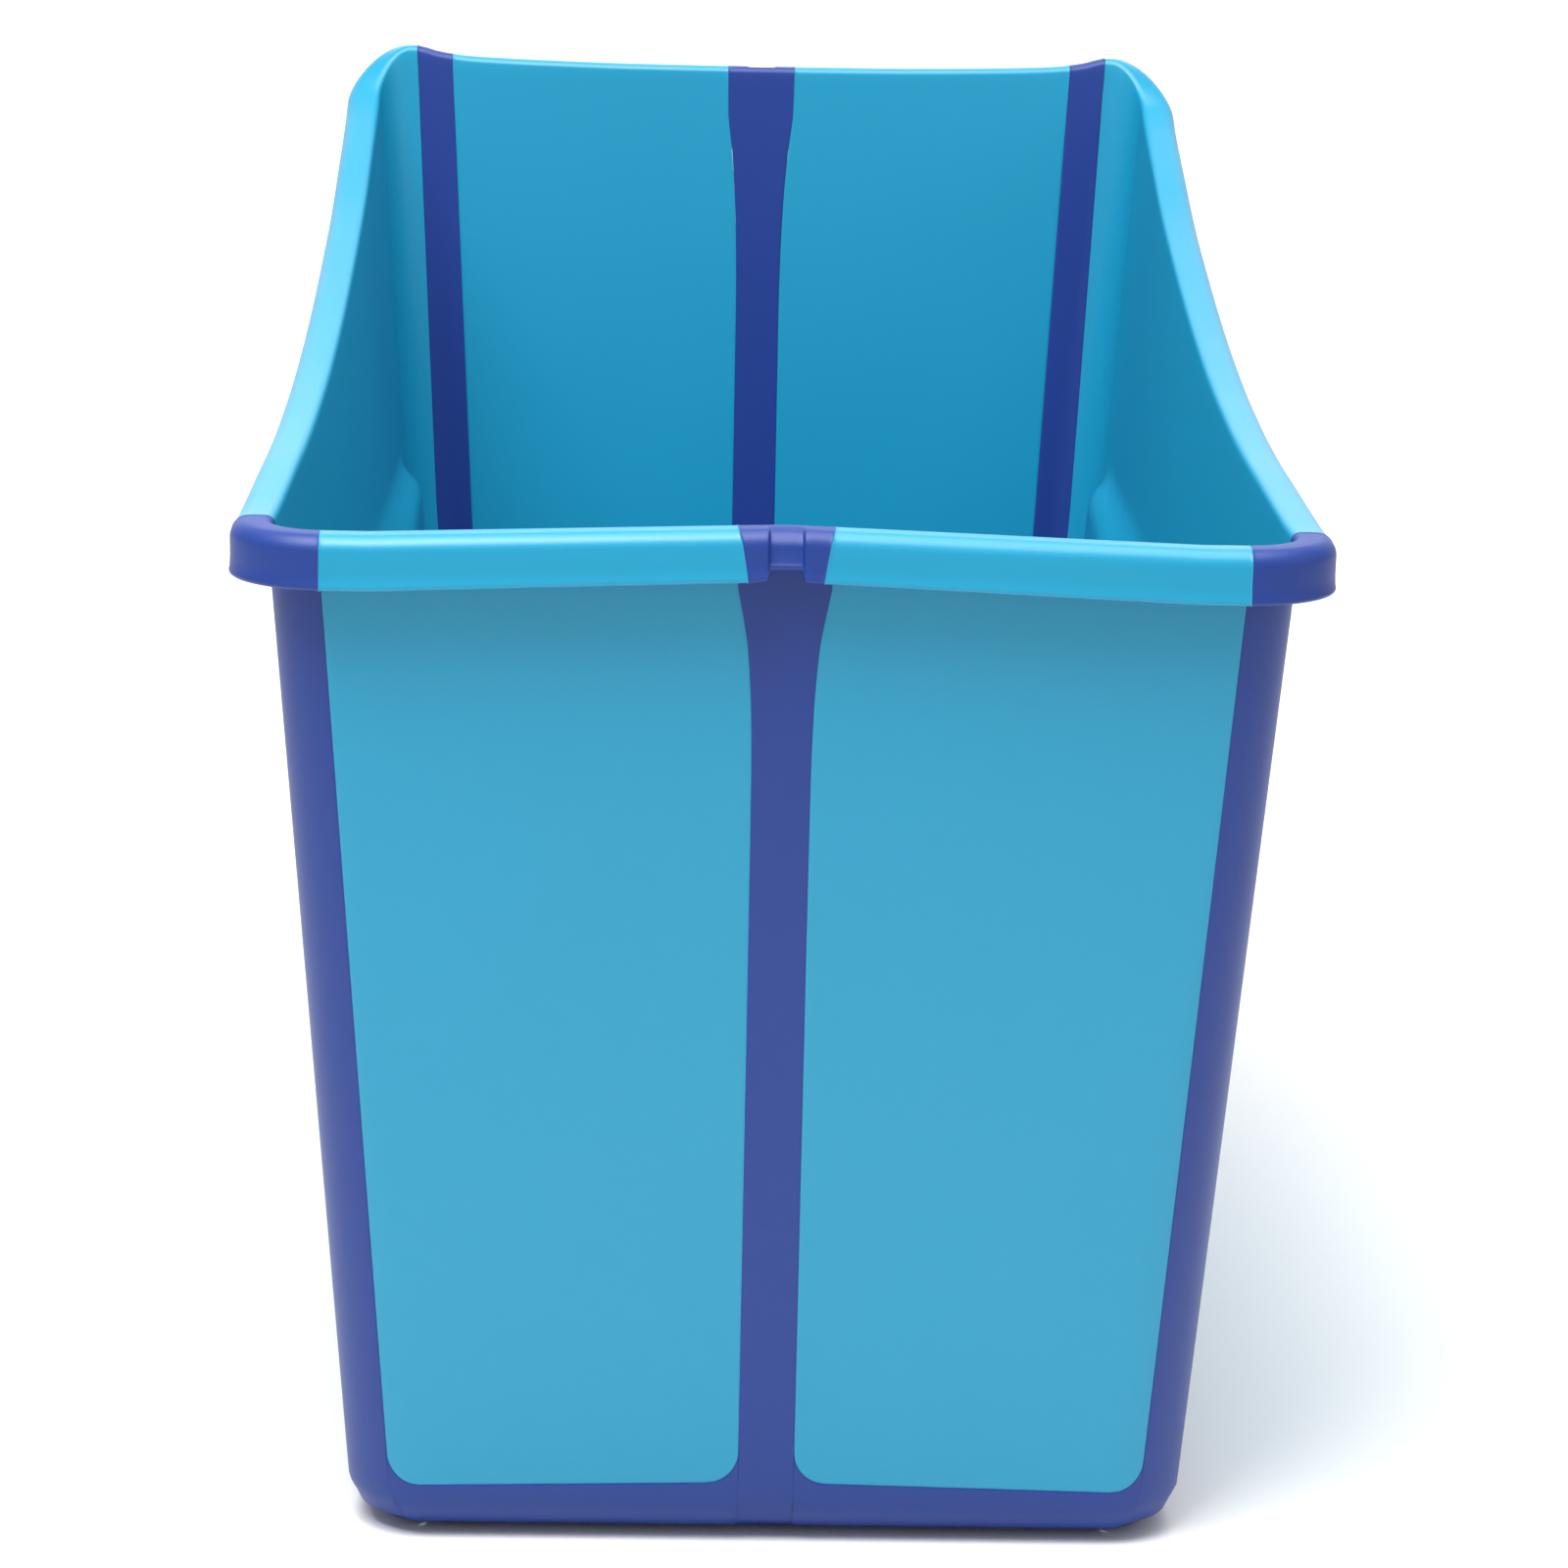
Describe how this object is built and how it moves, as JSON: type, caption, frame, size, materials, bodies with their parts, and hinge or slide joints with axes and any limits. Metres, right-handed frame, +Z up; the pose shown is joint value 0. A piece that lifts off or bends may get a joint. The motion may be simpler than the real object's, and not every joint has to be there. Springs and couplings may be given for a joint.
{
  "type": "folding baby bathtub",
  "caption": "Folding baby bathtub: stiff wall and floor panels joined by soft over-moulded webs, with a raised rolled rim at the high end.",
  "frame": {"origin": "on the ground under the middle of the tub", "axes": "+Z up, +Y along the tub towards the high end, +X across the tub to the right seen from the low end"},
  "size_m": [0.5178, 0.8461, 0.655],
  "materials": {
    "cyan_plastic": "satin moulded",
    "soft_purple": "satin soft elastomer",
    "purple_plastic": "satin moulded",
    "grey_rubber": "matte"
  },
  "bodies": {
    "side_left": {"side_wall_left": "cyan_plastic"},
    "front_left": {"wall_front_left": "cyan_plastic", "corner_web_front_left": "soft_purple"},
    "front_band": {"centre_band_front": "soft_purple"},
    "front_right": {"wall_front_right": "cyan_plastic"},
    "side_right": {"side_wall_right": "cyan_plastic", "corner_web_front_right": "soft_purple"},
    "back_left": {"wall_back_left": "cyan_plastic", "corner_web_back_left": "soft_purple"},
    "back_band": {"centre_band_back": "soft_purple"},
    "back_right": {"wall_back_right": "cyan_plastic"},
    "back_corner_right": {"corner_web_back_right": "soft_purple"},
    "floor_left": {"floor_panel_left": "cyan_plastic", "pads_left": "grey_rubber", "bottom_web_side_left": "soft_purple"},
    "floor_band": {"floor_centre_band": "soft_purple"},
    "floor_right": {"floor_panel_right": "cyan_plastic", "pads_right": "grey_rubber", "drain_seat": "purple_plastic", "drain_gasket": "grey_rubber", "drain_nut": "purple_plastic"},
    "floor_edge_right": {"bottom_web_side_right": "soft_purple"},
    "drain_plug": {"drain_plug": "purple_plastic"},
    "gusset_front_left": {"gusset_panel_front_left": "soft_purple", "gusset_web_front_left": "soft_purple"},
    "gusset_front_right": {"gusset_panel_front_right": "soft_purple", "gusset_web_front_right": "soft_purple"},
    "gusset_back_left": {"gusset_panel_back_left": "soft_purple", "gusset_web_back_left": "soft_purple"},
    "gusset_back_right": {"gusset_panel_back_right": "soft_purple", "gusset_web_back_right": "soft_purple"},
    "bottom_edge_front_left": {"bottom_web_front_left": "soft_purple"},
    "bottom_edge_front_right": {"bottom_web_front_right": "soft_purple"},
    "bottom_edge_back_left": {"bottom_web_back_left": "soft_purple"},
    "bottom_edge_back_right": {"bottom_web_back_right": "soft_purple"},
    "gusset_band_front": {"gusset_band_front": "soft_purple"},
    "gusset_band_back": {"gusset_band_back": "soft_purple"}
  },
  "joints": [
    {"name": "fold", "type": "hinge", "parent": "side_left", "child": "front_left", "pos_m": [-0.17994, -0.383, 0], "axis": [-0.0773, -0.0299, 0.9966], "range_deg": [0, 88], "deforming": ["corner_web_front_left"]},
    {"name": "front_band_left", "type": "hinge", "parent": "front_left", "child": "front_band", "pos_m": [-0.013, -0.389, 0], "axis": [-0.0149, -0.03, 0.9994], "range_deg": [-90.91, 0], "deforming": ["centre_band_front"]},
    {"name": "front_band_right", "type": "hinge", "parent": "front_band", "child": "front_right", "pos_m": [0.013, -0.389, 0], "axis": [0.0149, -0.03, 0.9994], "range_deg": [-90.91, 0]},
    {"name": "front_corner_right", "type": "hinge", "parent": "front_right", "child": "side_right", "pos_m": [0.17994, -0.383, 0], "axis": [0.0773, -0.0299, 0.9966], "range_deg": [0, 90], "deforming": ["corner_web_front_right"]},
    {"name": "back_corner_left", "type": "hinge", "parent": "side_left", "child": "back_left", "pos_m": [-0.16479, 0.357, 0], "axis": [-0.0754, 0.0647, 0.9951], "range_deg": [-92.27, 0], "deforming": ["corner_web_back_left"]},
    {"name": "back_band_left", "type": "hinge", "parent": "back_left", "child": "back_band", "pos_m": [-0.013, 0.362, 0], "axis": [-0.0149, 0.0649, 0.9978], "range_deg": [0, 90.92], "deforming": ["centre_band_back"]},
    {"name": "back_band_right", "type": "hinge", "parent": "back_band", "child": "back_right", "pos_m": [0.013, 0.362, 0], "axis": [0.0149, 0.0649, 0.9978], "range_deg": [0, 90.92]},
    {"name": "back_corner_right", "type": "hinge", "parent": "back_right", "child": "back_corner_right", "pos_m": [0.16479, 0.357, 0], "axis": [0.0754, 0.0647, 0.9951], "range_deg": [-92.27, 0], "deforming": ["corner_web_back_right"]},
    {"name": "floor_edge_left", "type": "hinge", "parent": "side_left", "child": "floor_left", "pos_m": [-0.18829, -0.38, 0.009], "axis": [0.019, 0.9998, 0], "range_deg": [-94.44, 0], "deforming": ["bottom_web_side_left"]},
    {"name": "floor_middle_left", "type": "hinge", "parent": "floor_left", "child": "floor_band", "pos_m": [-0.021, -0.38, 0.003], "axis": [0, 1, 0], "range_deg": [0, 90.95], "deforming": ["floor_centre_band"]},
    {"name": "floor_middle_right", "type": "hinge", "parent": "floor_band", "child": "floor_right", "pos_m": [0.021, -0.38, 0.003], "axis": [0, 1, 0], "range_deg": [0, 90.95]},
    {"name": "floor_edge_right", "type": "hinge", "parent": "floor_right", "child": "floor_edge_right", "pos_m": [0.18829, -0.38, 0.009], "axis": [-0.019, 0.9998, 0], "range_deg": [-94.44, 0], "deforming": ["bottom_web_side_right"]},
    {"name": "gusset_front_left", "type": "hinge", "parent": "floor_left", "child": "gusset_front_left", "pos_m": [-0.123, -0.326, 0.0025], "axis": [0.7071, 0.7071, 0], "range_deg": [0, 180], "deforming": ["gusset_web_front_left", "gusset_panel_front_left"]},
    {"name": "gusset_front_right", "type": "hinge", "parent": "floor_right", "child": "gusset_front_right", "pos_m": [0.123, -0.326, 0.0025], "axis": [-0.7071, 0.7071, 0], "range_deg": [-180, 0], "deforming": ["gusset_web_front_right", "gusset_panel_front_right"]},
    {"name": "gusset_back_left", "type": "hinge", "parent": "floor_left", "child": "gusset_back_left", "pos_m": [-0.10673, 0.299, 0.0025], "axis": [0.7071, -0.7071, 0], "range_deg": [-180, 0], "deforming": ["gusset_web_back_left", "gusset_panel_back_left"]},
    {"name": "gusset_back_right", "type": "hinge", "parent": "floor_right", "child": "gusset_back_right", "pos_m": [0.10673, 0.299, 0.0025], "axis": [-0.7071, -0.7071, 0], "range_deg": [0, 180], "deforming": ["gusset_web_back_right", "gusset_panel_back_right"]},
    {"name": "bottom_crease_front_left", "type": "hinge", "parent": "gusset_front_left", "child": "bottom_edge_front_left", "pos_m": [0, -0.385, 0.002], "axis": [1, 0, 0], "range_deg": [0, 88.24], "deforming": ["bottom_web_front_left"]},
    {"name": "bottom_crease_front_right", "type": "hinge", "parent": "gusset_front_right", "child": "bottom_edge_front_right", "pos_m": [0, -0.385, 0.002], "axis": [1, 0, 0], "range_deg": [0, 88.24], "deforming": ["bottom_web_front_right"]},
    {"name": "bottom_crease_back_left", "type": "hinge", "parent": "gusset_back_left", "child": "bottom_edge_back_left", "pos_m": [0, 0.358, 0.002], "axis": [1, 0, 0], "range_deg": [-88.24, 0], "deforming": ["bottom_web_back_left"]},
    {"name": "bottom_crease_back_right", "type": "hinge", "parent": "gusset_back_right", "child": "bottom_edge_back_right", "pos_m": [0, 0.358, 0.002], "axis": [1, 0, 0], "range_deg": [-88.24, 0], "deforming": ["bottom_web_back_right"]},
    {"name": "gusset_band_front_hinge", "type": "hinge", "parent": "floor_band", "child": "gusset_band_front", "pos_m": [0, -0.2146, 0.003], "axis": [1, 0, 0], "range_deg": [0, 90], "deforming": ["gusset_band_front"]},
    {"name": "gusset_band_back_hinge", "type": "hinge", "parent": "floor_band", "child": "gusset_band_back", "pos_m": [0, 0.20387, 0.003], "axis": [1, 0, 0], "range_deg": [-90, 0], "deforming": ["gusset_band_back"]},
    {"name": "plug_pull", "type": "slide", "parent": "floor_right", "child": "drain_plug", "axis": [0, 0, 1], "range_m": [0, 0.04]}
  ],
  "couplings": [
    {"joint": "front_band_left", "follows": "fold", "ratio": -1.0103},
    {"joint": "front_band_right", "follows": "fold", "ratio": -1.0103},
    {"joint": "front_corner_right", "follows": "fold", "ratio": 1},
    {"joint": "back_corner_left", "follows": "fold", "ratio": -1.0257},
    {"joint": "back_band_left", "follows": "fold", "ratio": 1.0105},
    {"joint": "back_band_right", "follows": "fold", "ratio": 1.0105},
    {"joint": "back_corner_right", "follows": "fold", "ratio": -1.0257},
    {"joint": "floor_edge_left", "follows": "fold", "ratio": -1.0504},
    {"joint": "floor_middle_left", "follows": "fold", "ratio": 1.0108},
    {"joint": "floor_middle_right", "follows": "fold", "ratio": 1.0108},
    {"joint": "floor_edge_right", "follows": "fold", "ratio": -1.0504},
    {"joint": "gusset_front_left", "follows": "fold", "ratio": 2.0227},
    {"joint": "gusset_front_right", "follows": "fold", "ratio": -2.0227},
    {"joint": "gusset_back_left", "follows": "fold", "ratio": -2.0227},
    {"joint": "gusset_back_right", "follows": "fold", "ratio": 2.0227},
    {"joint": "bottom_crease_front_left", "follows": "fold", "ratio": 0.98},
    {"joint": "bottom_crease_front_right", "follows": "fold", "ratio": 0.98},
    {"joint": "bottom_crease_back_left", "follows": "fold", "ratio": -0.98},
    {"joint": "bottom_crease_back_right", "follows": "fold", "ratio": -0.98},
    {"joint": "gusset_band_front_hinge", "follows": "fold", "ratio": 1},
    {"joint": "gusset_band_back_hinge", "follows": "fold", "ratio": -1}
  ]
}
